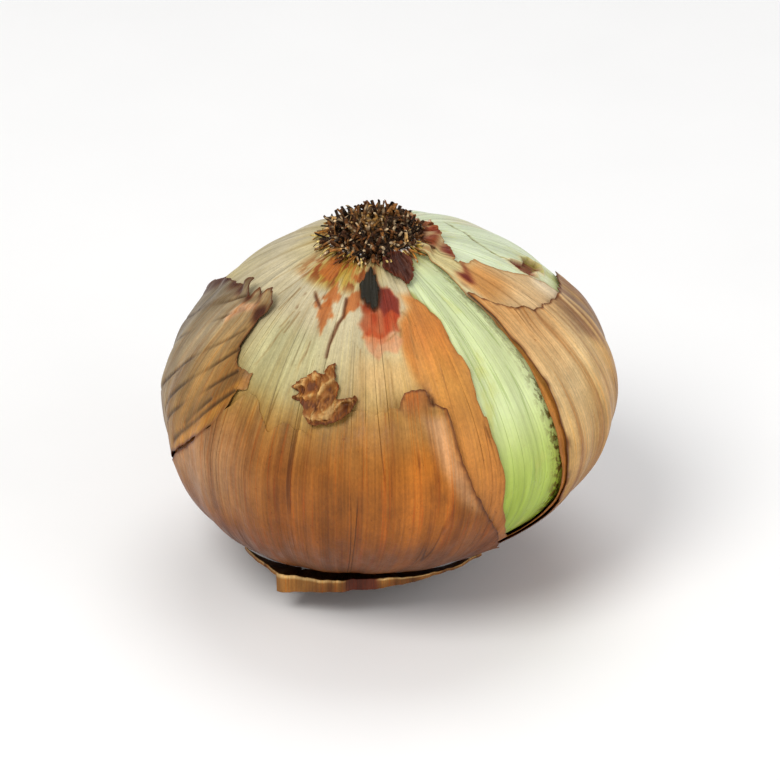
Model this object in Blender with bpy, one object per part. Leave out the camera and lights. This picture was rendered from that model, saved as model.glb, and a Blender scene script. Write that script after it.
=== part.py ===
"""A dry onion, standing on its cut neck with the root end up.

The bulb carries two papery skins. Both are torn, so that the cream inner skin and the green-white
flesh show between the brown pieces, and a loose brown skin has peeled away under the front.

Places on the bulb are a turn round the axis and a fall from the root end, both in degrees. Turn 0
faces -Y and grows towards +X. Fall 0 is the root end, 90 the widest circle and 180 the neck. Every
skin is cut out flat, with turn along X and fall down -Y, and then wrapped round the bulb.
"""

import math
import random

import bmesh
import bpy
from mathutils import Vector

MM = 0.001

# Bulb, without its skins
HALF_WIDTH = 40.6 * MM
ROOT_RISE = 31.7 * MM
NECK_DROP = 30.6 * MM
ROOT_FULLNESS = 1.72  # power of the outline: 1 is a cone, 2 an ellipse
ROOT_FULLNESS_SWING = 0.12  # rounder on +X, straighter on -X
NECK_FULLNESS = 1.91
NECK_FULLNESS_SWING = 0.25  # rounder on -X
ROOT_BOW = 3.2 * MM  # how far the root end leans off the axis, towards -X
NECK_BOW = 5.5 * MM
SHOULDER_SWELL = 0.025  # share of the radius, where the root end's shoulder is fullest
SHOULDER_SWELL_TURN = 135
SWELLS = ((3, 0.004, 40), (5, 0.003, 100), (20, 0.0055, 0))  # lobes and ribs: count, share of the radius, first turn

# Neck, cut short and dried
NECK_FALL = 162  # where the neck leaves the shoulder
NECK_LENGTH = 4.4 * MM
NECK_RADIUS = 8.4 * MM
NECK_END_LEAN = 3.2 * MM  # middle of the flat cut end, towards -X
NECK_FOLDS = 8
NECK_FOLD_DEPTH = 0.07  # share of the neck's radius
FLARE_FALL = 140  # past here the skins turn from the shoulder to the neck
GROUND_DROP = NECK_DROP + NECK_LENGTH  # widest circle to the surface that the onion stands on

# Skins, thicker than life
SKIN = 0.6 * MM
GAP = 0.35 * MM
INNER_LIFT = GAP
OUTER_LIFT = INNER_LIFT + SKIN + GAP
LOOSE_LIFT = OUTER_LIFT + SKIN + GAP

# Root plate and its cut roots
PLATE_FALL = 14.4  # the plate's rim
PLATE_RIM = 0.9 * MM
PLATE_CROWN = 1.5 * MM  # more than the rim at the middle
ROOT_RINGS = ((4.4, 9), (6.9, 14), (9.3, 19), (11.4, 24), (13.2, 28))  # fall and count
ROOT_WIDTH = 1.15 * MM
ROOT_LENGTH = (1.9 * MM, 3.2 * MM)
ROOT_SUNK = 1.0 * MM
ROOT_LEAN = (4, 60)  # degrees off the axis, from the middle to the rim
ROOT_SIDES = 5

# Facets, alike on every layer, so that the gaps between the layers stay even
TURN_STEP = 9
FALL_STEP = 9
NECK_STEP = 4.5

# The long slit where both skins are gone and the flesh shows
SLIT = [
    (24, 12), (27, 20), (22, 28), (21, 32), (25, 37), (27.5, 43), (27, 50), (28.5, 59), (27, 67),
    (29, 79), (29.5, 97), (33, 105),
    (42, 117), (47, 123), (51.5, 110), (50, 100), (48, 87), (48.5, 72), (49.5, 60), (49, 45),
    (49, 38), (52, 30), (57, 20), (58, 12),
]
# The pale shoulder, right of the slit, where the inner skin is gone too
SHOULDER_TEAR = [
    (103, 16.5), (90.5, 21), (78.5, 23.5), (68, 28), (71, 31), (78.5, 32), (79, 37.5), (83, 44),
    (87, 49.5), (90.5, 54), (91.5, 60), (98, 63), (107, 64), (112, 71), (117, 79), (126, 79),
    (135, 73), (145, 69), (155, 63), (165, 61), (171, 57), (174, 47), (172, 36), (169, 28),
    (174, 22), (173, 16.5),
]
BACK_TEAR = [
    (-160, 79), (-153, 73), (-146, 78), (-143, 88), (-145, 99), (-150, 107), (-155, 101), (-161, 93),
]
# The outer skin's torn upper edge, from the back on the left round to the back on the right
UPPER_EDGE = [
    (-180, 64), (-172, 61), (-165, 62), (-155, 60.5), (-146, 66), (-138, 67), (-131, 73), (-123, 77),
    (-117, 79), (-113, 71), (-108, 62), (-104.5, 58.5), (-98, 54), (-89.5, 50.5), (-84.5, 48.5), (-79, 47), (-76.5, 43), (-71.5, 46.5),
    (-69.5, 42.5), (-65, 44.5), (-59.5, 40.5), (-52.5, 43), (-54, 47), (-57, 50), (-56.5, 55),
    (-56.5, 60), (-52.5, 63.5), (-46.5, 65), (-45.5, 70), (-41, 71), (-34, 77), (-30, 74), (-24, 75), (-20, 71),
    (-13, 69), (-8, 66), (-1, 68), (4, 67), (6, 63), (12, 62), (13, 66.5), (16.5, 68), (17, 75),
    (18.5, 81), (21, 88), (24, 95), (28, 103), (36, 115), (42, 121), (47.5, 126), (52.5, 111),
    (51, 100), (49, 87), (49.5, 72), (50.5, 60), (50, 45), (49.5, 38), (54, 43), (61.5, 49.5),
    (67.5, 54), (75, 55), (82, 56), (90, 58), (97, 59.5), (105, 60), (110, 61.5), (115, 67),
    (118, 76), (122, 84), (130, 80), (140, 76), (150, 71), (160, 69), (171, 65), (180, 64),
]
# The crack between the brown remnant on the left and the brown skin below it
LEFT_CRACK = [
    (-43.5, 68), (-48.2, 75.5), (-51.5, 81.5), (-57, 87.5), (-64.5, 94), (-78, 105.5), (-92, 112),
    (-77.5, 103.4), (-63.5, 91.8), (-55.8, 85.2), (-50.6, 79.6), (-48.3, 70),
]
CREST = 8  # fall above which nothing of the outer skin is left
INNER_FALLS = (15.6, 177)
OUTER_FALLS = (30, 174)
RAGGED_END = 7  # how far up the outer skin's dried end is torn, at the neck

# Loose pieces
PEELED_SKIN = [
    (-59, 128), (-48, 128.1), (-38, 128), (-31, 128.2), (-22, 128), (-13, 128.1), (-5, 128.4), (1, 128),
    (10, 128.2), (24, 128), (36, 128.2), (50, 128), (50, 133), (42, 138), (28, 145), (8, 150),
    (-16, 151), (-36, 149), (-48, 142), (-59, 133.5),
]
LIP_FALLS = (128, 132)  # its upright lip, on the flat sheet
COLLAR_FALLS = (134, 151)  # what part of the bulb its rim stands beside, and where it is still held
COLLAR_STAND_OFF = 1.4 * MM  # of the rim, most near the left end
LIP_LEFT_END = -38  # where the lip is torn off short
LIP_HEIGHTS = (0.7 * MM, 3.9 * MM, 2.5 * MM, 0.5 * MM)  # left of that, at it, in the middle, at the right end
TORN_FLAKE = [
    (-29, 62), (-24, 58), (-19, 58), (-16.5, 54), (-14, 61), (-9, 64), (-12, 69), (-18, 72.5),
    (-23, 72), (-26, 67),
]
FLAKE_CRUMPLE = 1.1 * MM
ROOT_FLAKE = [
    (9, 18), (20, 17.3), (33, 17.3), (37, 19), (31.5, 23), (27, 26), (21.5, 28), (18, 25.5),
    (12.5, 23), (7, 20),
]
LIFTED_CORNERS = ((9, 64, 7, 1.3 * MM), (-58, 43, 9, 1.1 * MM), (62, 50, 8, 0.8 * MM))  # turn, fall, reach, lift


def clear_scene():
    for obj in list(bpy.data.objects):
        bpy.data.objects.remove(obj, do_unlink=True)


def smooth(share):
    share = min(1, max(0, share))
    return share * share * (3 - 2 * share)


def toward(turn):
    """The level direction of a turn round the axis."""
    return Vector((math.sin(math.radians(turn)), -math.cos(math.radians(turn)), 0))


def bow(height):
    """How far the bulb's own axis stands to -X at a height above or below the widest circle."""
    if height > 0:
        return ROOT_BOW * (height / ROOT_RISE) ** 2
    return NECK_BOW * (height / NECK_DROP) ** 2


def shoulder_place(turn, fall):
    """The point of the bulb's flesh at a turn and a fall, above the neck."""
    across = math.sin(math.radians(fall))
    up = math.cos(math.radians(fall))
    rise, power = ROOT_RISE, ROOT_FULLNESS + ROOT_FULLNESS_SWING * math.sin(math.radians(turn))
    if up < 0:
        rise, power = NECK_DROP, NECK_FULLNESS - NECK_FULLNESS_SWING * min(0, math.sin(math.radians(turn)))
    reach = (abs(across / HALF_WIDTH) ** power + abs(up / rise) ** power) ** (-1 / power)
    swell = sum(share * math.cos(math.radians(count * (turn - first))) for count, share, first in SWELLS)
    if up > 0:
        swell_here = max(0, math.cos(math.radians(turn - SHOULDER_SWELL_TURN))) ** 2
        reach = reach * (1 + SHOULDER_SWELL * swell_here * (2 * across * up) ** 2)
    reach = reach * (1 + swell * across**2)
    return toward(turn) * (reach * across) + Vector((-bow(reach * up), 0, reach * up + GROUND_DROP))


def neck_place(turn, share):
    """The neck below the shoulder: share 0 leaves the shoulder, 1 is the rim of the flat cut end."""
    shoulder = shoulder_place(turn, NECK_FALL)
    folds = 1 + NECK_FOLD_DEPTH * math.cos(math.radians(NECK_FOLDS * turn))
    cut_end = toward(turn) * NECK_RADIUS * folds - Vector((NECK_END_LEAN, 0, 0))
    point = shoulder.lerp(cut_end, smooth(share) ** 0.5)
    point.z = shoulder.z * (1 - share)
    return point


def place(turn, fall, lift=0.0):
    """The point at a turn and a fall, from the root end down to the neck's cut, lifted off the flesh."""
    if fall > NECK_FALL:
        point = neck_place(turn, (fall - NECK_FALL) / (180 - NECK_FALL))
    else:
        point = shoulder_place(turn, fall)
    tilt = fall - 90
    if fall > FLARE_FALL:
        tilt = (FLARE_FALL - 90) * (1 - smooth((fall - FLARE_FALL) / (180 - FLARE_FALL)))
    tilt = math.radians(tilt)
    return point + toward(turn) * (lift * math.cos(tilt)) - Vector((0, 0, lift * math.sin(tilt)))


def object_from(bm, name, material):
    mesh = bpy.data.meshes.new(name)
    bm.to_mesh(mesh)
    bm.free()
    obj = bpy.data.objects.new(name, mesh)
    bpy.context.scene.collection.objects.link(obj)
    if material:
        mesh.materials.append(material)
    return obj


def finish(color, roughness, name):
    material = bpy.data.materials.new(name)
    material.use_nodes = True
    shader = material.node_tree.nodes["Principled BSDF"]
    shader.inputs["Base Color"].default_value = (*color, 1)
    shader.inputs["Roughness"].default_value = roughness
    shader.inputs["Metallic"].default_value = 0
    return material


def shade_round(obj, sharp_angle=40):
    obj.data.shade_smooth()
    obj.data.set_sharp_from_angle(angle=math.radians(sharp_angle))


def steps(low, high, step):
    """The multiples of a step between two values, with the two values themselves."""
    first, last = math.floor(low / step) + 1, math.ceil(high / step)
    return [low, *(step * i for i in range(first, last)), high]


def fall_rows(low, high):
    """The falls of a layer's rows of facets, closer together on the neck."""
    rows = steps(0, NECK_FALL, FALL_STEP) + steps(NECK_FALL, 180, NECK_STEP)[1:]
    return [low, *(fall for fall in rows if low < fall < high), high]


def turn_and_fall_grid(turns, falls):
    """A flat grid with its columns at the turns and its rows at the falls."""
    bm = bmesh.new()
    bmesh.ops.create_grid(bm, x_segments=len(turns) - 1, y_segments=len(falls) - 1, size=0.5)
    for vert in bm.verts:
        column = round((0.5 + vert.co.x) * (len(turns) - 1))
        row = round((0.5 - vert.co.y) * (len(falls) - 1))
        vert.co = (turns[column], -falls[row], 0)
    return bm


def build_bulb():
    """The flesh, from the root end down to the flat end of its cut neck."""
    turns, falls = steps(-180, 180, TURN_STEP), fall_rows(FALL_STEP, 180)
    bm = turn_and_fall_grid(turns, falls)
    for vert in bm.verts:
        vert.co = place(vert.co.x, -vert.co.y)
    bmesh.ops.remove_doubles(bm, verts=bm.verts, dist=0.001 * MM)
    bmesh.ops.holes_fill(bm, edges=bm.edges, sides=len(turns))
    bmesh.ops.recalc_face_normals(bm, faces=bm.faces)
    bulb = object_from(bm, "bulb", finish((0.62, 0.72, 0.34), 0.35, "flesh"))
    shade_round(bulb)
    return bulb


def flat_sheet(turns, falls):
    """A slab one unit thick, cut out flat: turn along X and fall down -Y, in degrees."""
    bm = turn_and_fall_grid(turns, falls)
    raised = bmesh.ops.extrude_face_region(bm, geom=bm.faces[:])
    bmesh.ops.translate(bm, vec=(0, 0, 1), verts=[v for v in raised["geom"] if isinstance(v, bmesh.types.BMVert)])
    bmesh.ops.recalc_face_normals(bm, faces=bm.faces)
    return object_from(bm, "flat_sheet", None)


def outline_cutter(outline):
    """A prism through the flat sheet, on a closed outline of turns and falls."""
    bm = bmesh.new()
    face = bm.faces.new([bm.verts.new((turn, -fall, -1)) for turn, fall in outline])
    raised = bmesh.ops.extrude_face_region(bm, geom=[face])
    bmesh.ops.translate(bm, vec=(0, 0, 3), verts=[v for v in raised["geom"] if isinstance(v, bmesh.types.BMVert)])
    bmesh.ops.recalc_face_normals(bm, faces=bm.faces)
    cutter = object_from(bm, "outline_cutter", None)
    cutter.hide_render = True
    cutter.display_type = "WIRE"
    return cutter


def cut_mesh(sheet, outlines, operation):
    """The sheet's mesh after the outlines are cut from it, or after it is cut down to one outline."""
    cutters = [outline_cutter(outline) for outline in outlines]
    for cutter in cutters:
        cut = sheet.modifiers.new("cut", "BOOLEAN")
        cut.operation = operation
        cut.object = cutter
    bpy.context.view_layer.update()
    graph = bpy.context.evaluated_depsgraph_get()
    mesh = bpy.data.meshes.new_from_object(sheet.evaluated_get(graph))
    for spent in [sheet, *cutters]:
        bpy.data.objects.remove(spent, do_unlink=True)
    return mesh


def wrap(name, mesh, place_of, material, whole_turn=False):
    """The flat mesh bent round the bulb, each vertex to where place_of(turn, fall, side) says."""
    bm = bmesh.new()
    bm.from_mesh(mesh)
    if whole_turn:
        seam = [f for f in bm.faces if all(abs(abs(v.co.x) - 180) < 0.001 for v in f.verts)]
        bmesh.ops.delete(bm, geom=seam, context="FACES")
    for vert in bm.verts:
        vert.co = place_of(vert.co.x, -vert.co.y, vert.co.z)
    bmesh.ops.remove_doubles(bm, verts=bm.verts, dist=0.001 * MM)
    bmesh.ops.triangulate(bm, faces=bm.faces)
    skin = object_from(bm, name, material)
    shade_round(skin)
    return skin


def lifted(lift_of):
    """For wrap: a skin whose lower side is lifted off the flesh as lift_of(turn, fall) says."""
    return lambda turn, fall, side: place(turn, fall, lift_of(turn, fall) + SKIN * side)


def corner_lift(turn, fall):
    """How far the skin has curled up near its lifted corners."""
    total = 0
    for corner_turn, corner_fall, reach, lift in LIFTED_CORNERS:
        away = math.hypot((turn - corner_turn) * math.sin(math.radians(fall)), fall - corner_fall)
        total += lift * smooth(1 - away / reach)
    return total


def build_inner_skin():
    sheet = flat_sheet(steps(-180, 180, TURN_STEP), fall_rows(*INNER_FALLS))
    mesh = cut_mesh(sheet, [SLIT, SHOULDER_TEAR], "DIFFERENCE")
    cream = finish((0.62, 0.42, 0.16), 0.42, "cream skin")
    return wrap("inner_skin", mesh, lifted(lambda turn, fall: INNER_LIFT), cream, True)


def build_outer_skin():
    sheet = flat_sheet(steps(-180, 180, TURN_STEP), fall_rows(*OUTER_FALLS))
    back = UPPER_EDGE[0][1]
    above = [(-181, CREST), (-181, back), *UPPER_EDGE, (181, back), (181, CREST)]
    rng = random.Random(3)
    end = OUTER_FALLS[1]
    ragged = [(turn, end - rng.uniform(0, RAGGED_END)) for turn in range(-170, 180, 10)]
    ragged = [(-180, end - 2), *ragged, (180, end - 2)]
    below = [(-181, 181), (-181, end - 2), *ragged, (181, end - 2), (181, 181)]
    mesh = cut_mesh(sheet, [above, below, LEFT_CRACK, BACK_TEAR], "DIFFERENCE")
    brown = finish((0.36, 0.15, 0.035), 0.45, "brown skin")
    return wrap("outer_skin", mesh, lifted(lambda turn, fall: OUTER_LIFT + corner_lift(turn, fall)), brown, True)


def collar_place(turn, fall, side):
    """The loose skin: an upright lip, then a sheet that runs in under the bulb to where it is held."""
    lip_top, lip_end = LIP_FALLS
    rim_fall, held_fall = COLLAR_FALLS
    torn, left, middle, right = LIP_HEIGHTS
    stand = COLLAR_STAND_OFF * smooth((turn + 60) / 22) * (1 - smooth((turn - LIP_LEFT_END) / 60))
    height = right + (middle - right) * (1 - smooth((turn + 8) / 40))
    height += (left - middle) * (1 - smooth((turn - LIP_LEFT_END) / 22))
    if turn < LIP_LEFT_END:
        height = torn
    rim = place(turn, rim_fall, LOOSE_LIFT + stand)
    lip = (min(fall, lip_end) - lip_top) / (lip_end - lip_top)
    point = rim - Vector((0, 0, height * lip))
    if fall > lip_end:
        inward = (fall - lip_end) / (held_fall - lip_end)
        beside = place(turn, rim_fall + inward * (held_fall - rim_fall), LOOSE_LIFT)
        point = beside + (point - place(turn, rim_fall, LOOSE_LIFT)) * (1 - inward)
    out = toward(turn) * (1 - smooth((fall - lip_end) / 3))
    under = Vector((0, 0, -smooth((fall - lip_end + 2) / 2)))
    return point + (out + under) * (SKIN * side)


def build_peeled_skin():
    """The loose brown skin under the front, held near the neck, with a lip that stands up."""
    lip_top, lip_end = LIP_FALLS
    turns = [*steps(-62, LIP_LEFT_END - 0.6, 4), *steps(LIP_LEFT_END, 54, 4)]
    sheet = flat_sheet(turns, [lip_top - 2, lip_top + 2, *steps(lip_end, 154, 3)])
    mesh = cut_mesh(sheet, [PEELED_SKIN], "INTERSECT")
    return wrap("peeled_skin", mesh, collar_place, finish((0.33, 0.15, 0.04), 0.5, "loose skin"))


def build_torn_flake():
    """The crumpled scrap that lies half on the cream skin and half on the brown skin's torn edge."""

    def crumple(turn, fall):
        along = math.sin(math.radians(34 * (turn + 0.6 * fall)))
        across = math.cos(math.radians(27 * (fall - 0.4 * turn)))
        step = (LOOSE_LIFT - OUTER_LIFT) * smooth((fall - 58) / 8)
        return OUTER_LIFT + step + FLAKE_CRUMPLE * (0.5 + 0.5 * along * across)

    sheet = flat_sheet(steps(-32, -6, 2), steps(50, 76, 2))
    mesh = cut_mesh(sheet, [TORN_FLAKE], "INTERSECT")
    return wrap("torn_flake", mesh, lifted(crumple), finish((0.25, 0.09, 0.02), 0.55, "curled scrap"))


def build_root_flake():
    """The dark scrap of skin that hangs from the root plate's edge."""
    sheet = flat_sheet(steps(12, 40, 4), steps(14, 34, 4))
    mesh = cut_mesh(sheet, [ROOT_FLAKE], "INTERSECT")
    dark = finish((0.08, 0.03, 0.012), 0.6, "dark scrap")
    return wrap("root_flake", mesh, lifted(lambda turn, fall: OUTER_LIFT), dark)


def build_root_plate():
    """The disc that the roots grow from, on the bulb's root end."""
    falls = (1.5, 5, 9, PLATE_FALL)
    columns = 24
    bm = bmesh.new()
    bmesh.ops.create_grid(bm, x_segments=columns, y_segments=2 * len(falls) - 1, size=0.5)
    for vert in bm.verts:
        row = round((0.5 - vert.co.y) * (2 * len(falls) - 1))
        top = row < len(falls)
        fall = falls[row] if top else falls[2 * len(falls) - 1 - row]
        crown = PLATE_RIM + PLATE_CROWN * (1 - (fall / PLATE_FALL) ** 2)
        vert.co = place(360 * vert.co.x, fall, GAP + (crown if top else 0))
    bmesh.ops.remove_doubles(bm, verts=bm.verts, dist=0.001 * MM)
    bmesh.ops.holes_fill(bm, edges=bm.edges, sides=columns)
    bmesh.ops.recalc_face_normals(bm, faces=bm.faces)
    return object_from(bm, "root_tuft", finish((0.06, 0.03, 0.015), 0.75, "dried roots"))


def build_root(base, heading, bend, length, width):
    """One cut root: a tapered tube that starts in the plate and bends as it leaves."""
    bm = bmesh.new()
    bmesh.ops.create_circle(bm, cap_ends=True, radius=width / 2, segments=ROOT_SIDES)
    bmesh.ops.rotate(bm, verts=bm.verts, cent=(0, 0, 0), matrix=heading.to_track_quat("Z", "Y").to_matrix())
    bmesh.ops.translate(bm, verts=bm.verts, vec=base - heading * ROOT_SUNK)
    end = list(bm.faces)[0]
    for step in (heading * (ROOT_SUNK + length * 0.5), (heading + bend).normalized() * length * 0.5):
        raised = bmesh.ops.extrude_face_region(bm, geom=[end, *end.edges])["geom"]
        end = [part for part in raised if isinstance(part, bmesh.types.BMFace)][0]
        centre = end.calc_center_median()
        for vert in end.verts:
            vert.co = centre + (vert.co - centre) * 0.86 + step
    bmesh.ops.recalc_face_normals(bm, faces=bm.faces)
    return object_from(bm, "root", None)


def build_root_tuft():
    """The root plate and every root in its rings, joined into one body."""
    rng = random.Random(7)
    plate = build_root_plate()
    roots = bpy.data.collections.new("roots")
    axis = Vector((0, 0, 1))
    for fall, count in ROOT_RINGS:
        for i in range(count):
            turn = 360 * (i + rng.uniform(-0.25, 0.25)) / count
            fall_here = fall + rng.uniform(-0.6, 0.6)
            lift = GAP + PLATE_RIM + PLATE_CROWN * (1 - (min(fall_here, PLATE_FALL) / PLATE_FALL) ** 2)
            lean = ROOT_LEAN[0] + (ROOT_LEAN[1] - ROOT_LEAN[0]) * (fall / PLATE_FALL) ** 1.5
            lean = math.radians(lean + rng.uniform(-8, 8))
            out = toward(turn + rng.uniform(-14, 14))
            heading = axis * math.cos(lean) + out * math.sin(lean)
            bend = Vector([rng.uniform(-0.35, 0.35) for _ in range(3)]) + axis * 0.15
            base = place(turn, min(fall_here, PLATE_FALL - 1.1), lift)
            width = ROOT_WIDTH * rng.uniform(0.85, 1.1)
            root = build_root(base, heading, bend, rng.uniform(*ROOT_LENGTH), width)
            bpy.context.scene.collection.objects.unlink(root)
            roots.objects.link(root)
    join = plate.modifiers.new("join roots", "BOOLEAN")
    join.operation = "UNION"
    join.solver = "MANIFOLD"
    join.operand_type = "COLLECTION"
    join.collection = roots
    bpy.context.view_layer.update()
    graph = bpy.context.evaluated_depsgraph_get()
    joined = bpy.data.meshes.new_from_object(plate.evaluated_get(graph))
    plate.modifiers.clear()
    plate.data = joined
    for root in list(roots.objects):
        bpy.data.objects.remove(root, do_unlink=True)
    bpy.data.collections.remove(roots)
    return plate


def build():
    clear_scene()
    build_bulb()
    build_inner_skin()
    build_outer_skin()
    build_peeled_skin()
    build_torn_flake()
    build_root_flake()
    build_root_tuft()


build()
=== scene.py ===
import itertools
import math
import random

import bmesh
import bpy
import numpy as np
from mathutils import Matrix, Vector


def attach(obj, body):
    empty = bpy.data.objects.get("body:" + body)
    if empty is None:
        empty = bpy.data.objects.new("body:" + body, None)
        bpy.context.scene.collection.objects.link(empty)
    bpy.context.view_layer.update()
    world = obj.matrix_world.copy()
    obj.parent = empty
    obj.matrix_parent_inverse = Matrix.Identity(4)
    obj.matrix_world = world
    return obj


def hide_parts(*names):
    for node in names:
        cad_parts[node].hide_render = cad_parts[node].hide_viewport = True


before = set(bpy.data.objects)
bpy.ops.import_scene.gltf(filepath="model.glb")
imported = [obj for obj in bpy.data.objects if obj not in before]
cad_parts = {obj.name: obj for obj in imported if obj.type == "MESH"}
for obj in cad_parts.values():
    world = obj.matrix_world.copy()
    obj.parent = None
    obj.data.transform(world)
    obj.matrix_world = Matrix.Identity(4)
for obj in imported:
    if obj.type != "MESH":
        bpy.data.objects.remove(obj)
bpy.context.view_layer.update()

# ---- The bulb ----
# The fleshy bulb: scale leaves swollen with water, pale green where light reached them. It is a
# flattened globe that leans a little, with low ribs down its sides and a short neck, cut flat and
# dried, that it stands on. A place on it is a turn round the axis and a fall from the root end.
MM = 0.001
HALF_WIDTH = 40.6 * MM
ROOT_RISE = 31.7 * MM
NECK_DROP = 30.6 * MM
NECK_LENGTH = 4.4 * MM
GROUND_DROP = NECK_DROP + NECK_LENGTH
NECK_FALL = 162
NECK_RADIUS = 8.4 * MM
NECK_END_LEAN = 3.2 * MM
NECK_FOLDS = 8
FLARE_FALL = 140
SWELLS = ((3, 0.004, 40), (5, 0.003, 100), (20, 0.0055, 0))
MM_PER_TURN = 0.7  # along the widest circle
MM_PER_FALL = 0.62
FLESH_LIFT = 0.1 * MM
PIT = [
    (91.5, 45.5), (95.5, 42.5), (99, 46.5), (100.5, 49), (104, 48.5), (107.5, 51.5), (107.5, 55.5),
    (101, 55), (98, 52.5), (93.5, 52), (90, 49.5),
]
SHOULDER_SCRATCH = [(130, 30), (122, 30.5), (116.5, 32), (105, 33.5), (97.5, 38.5), (96, 41), (96.5, 44)]
SLIT_RIGHT_SIDE = [(54, 28), (50.5, 38), (50, 60), (49, 72), (48.5, 87), (50, 100), (50.5, 112), (47, 122)]
SLIT_LEFT_SIDE = [(21, 31), (25, 37), (27.5, 43), (27, 50), (28.5, 59)]
NECK_RINGS = (  # how much narrower, how far up and what colour each next ring of the cut end is
    (0.95, 0.2, (96, 64, 34)), (0.85, 0.5, (168, 138, 88)), (0.92, -0.4, (104, 70, 38)),
    (0.78, 0.5, (160, 128, 80)), (0.9, -0.4, (96, 64, 34)), (0.7, 0.5, (150, 116, 70)),
    (0.8, -0.3, (92, 62, 32)), (0.5, 0.4, (134, 100, 58)),
)


def smooth(share):
    share = np.clip(share, 0, 1)
    return share * share * (3 - 2 * share)


def shoulder_place(turn, fall):
    """The points of the bulb's flesh at turns and falls, above the neck."""
    across, up = np.sin(np.radians(fall)), np.cos(np.radians(fall))
    rightward = np.sin(np.radians(turn))
    rise = np.where(up > 0, ROOT_RISE, NECK_DROP)
    power = np.where(up > 0, 1.72 + 0.12 * rightward, 1.91 - 0.25 * np.minimum(0, rightward))
    reach = ((across / HALF_WIDTH) ** power + (np.abs(up) / rise) ** power) ** (-1 / power)
    fullest = np.maximum(0, np.cos(np.radians(turn - 135))) ** 2
    reach = reach * (1 + 0.025 * fullest * (2 * across * np.maximum(0, up)) ** 2)
    swell = sum(share * np.cos(np.radians(count * (turn - first))) for count, share, first in SWELLS)
    reach = reach * (1 + swell * across**2)
    bow = np.where(up > 0, 3.2 * MM, 5.5 * MM) * (reach * up / rise) ** 2
    level = reach * across
    forward = level * np.cos(np.radians(turn))
    return np.stack([level * rightward - bow, -forward, reach * up + GROUND_DROP], axis=-1)


def place(turn, fall, lift):
    """The points at turns and falls, lifted off the flesh, down to the neck's cut end."""
    point = shoulder_place(turn, np.minimum(fall, NECK_FALL))
    share = np.clip((fall - NECK_FALL) / (180 - NECK_FALL), 0, 1)
    outward = np.stack([np.sin(np.radians(turn)), -np.cos(np.radians(turn)), 0 * turn], axis=-1)
    folds = 1 + 0.07 * np.cos(np.radians(NECK_FOLDS * turn))
    cut_end = outward * (NECK_RADIUS * folds)[..., None] - np.array([NECK_END_LEAN, 0, 0])
    height = point[..., 2] * (1 - share)
    point = point + (cut_end - point) * np.sqrt(smooth(share))[..., None]
    point[..., 2] = height
    past_flare = (FLARE_FALL - 90) * (1 - smooth((fall - FLARE_FALL) / (180 - FLARE_FALL)))
    tilt = np.radians(np.where(fall > FLARE_FALL, past_flare, fall - 90))
    point = point + outward * (lift * np.cos(tilt))[..., None]
    point[..., 2] -= lift * np.sin(tilt)
    return point


def grain_of(turn, fall):
    """Millimetres round the bulb and down it, with no seam: what fibres and streaks follow."""
    around = np.radians(turn)
    return np.stack([40 * np.sin(around), -40 * np.cos(around), MM_PER_FALL * fall], axis=-1)


def patchy(turn, fall, round_scale, down_scale, seed=0):
    """Soft noise from -1 to 1, drawn out along the fibres that run from root to neck."""
    point = grain_of(turn, fall) * (round_scale, round_scale, down_scale) + seed * 7.31 + 100
    cell = np.floor(point)
    inside = smooth(point - cell)
    total = 0
    for corner in itertools.product((0, 1), repeat=3):
        height = np.sin((cell + corner) @ (12.9898, 78.233, 37.719)) * 43758.5453
        weight = np.prod(np.where(corner, inside, 1 - inside), axis=-1)
        total = total + (height - np.floor(height)) * weight
    return 2 * total - 1


def spaced(*stretches):
    """Turns or falls from stretch to stretch, each a start and the step from there on."""
    starts, steps = zip(*stretches)
    runs = [np.arange(start, end, step) for start, end, step in zip(starts, starts[1:], steps)]
    return np.concatenate([*runs, starts[-1:]])


def turn_and_fall_grid(turns, falls):
    """A flat sheet with its columns at the turns and its rows at the falls."""
    bm = bmesh.new()
    bmesh.ops.create_grid(bm, x_segments=len(turns) - 1, y_segments=len(falls) - 1, size=0.5)
    for vert in bm.verts:
        column = round((0.5 + vert.co.x) * (len(turns) - 1))
        row = round((0.5 - vert.co.y) * (len(falls) - 1))
        vert.co = (turns[column], -falls[row], 0)
    return bm


def turns_and_falls(bm):
    flat = np.array([vert.co[:2] for vert in bm.verts])
    return flat[:, 0], -flat[:, 1]


def off_outline(turn, fall, outline):
    """Millimetres from each place to a closed outline, less than nothing inside it."""
    wide = MM_PER_TURN * np.sin(np.radians(fall))[:, None]
    start = np.array(outline, dtype=float)
    end = np.roll(start, -1, axis=0)
    ax, ay = (start[:, 0] - turn[:, None]) * wide, (start[:, 1] - fall[:, None]) * MM_PER_FALL
    bx, by = (end[:, 0] - turn[:, None]) * wide, (end[:, 1] - fall[:, None]) * MM_PER_FALL
    dx, dy = bx - ax, by - ay
    along = np.clip(-(ax * dx + ay * dy) / (dx * dx + dy * dy + 1e-9), 0, 1)
    distance = np.hypot(ax + along * dx, ay + along * dy).min(axis=1)
    crosses = ((ay > 0) != (by > 0)) & (ax - ay * dx / np.where(dy == 0, 1e-9, dy) > 0)
    return np.where(crosses.sum(axis=1) % 2 == 1, -distance, distance)


def within(turn, fall, outline, soft, stray=0):
    """1 inside an outline, fading to 0 across a soft edge of so many millimetres."""
    return smooth(0.5 - (off_outline(turn, fall, outline) + stray) / soft)


def on_line(turn, fall, line, width):
    """1 on an open line, fading to 0 at a width of so many millimetres."""
    there_and_back = [*line, *reversed(line[1:-1])]
    return 1 - smooth(np.abs(off_outline(turn, fall, there_and_back)) / width)


def drawn(turn, fall, lines, width, seed):
    """Thin lines that waver, and fade in and out along their length."""
    wavering = turn + 0.6 * patchy(turn, fall, 0.6, 0.5, seed)
    line_share = np.max([on_line(wavering, fall, line, width) for line in lines], axis=0)
    return line_share * smooth(0.8 + 1.3 * patchy(turn, fall, 0.22, 0.22, seed + 1))


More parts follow.
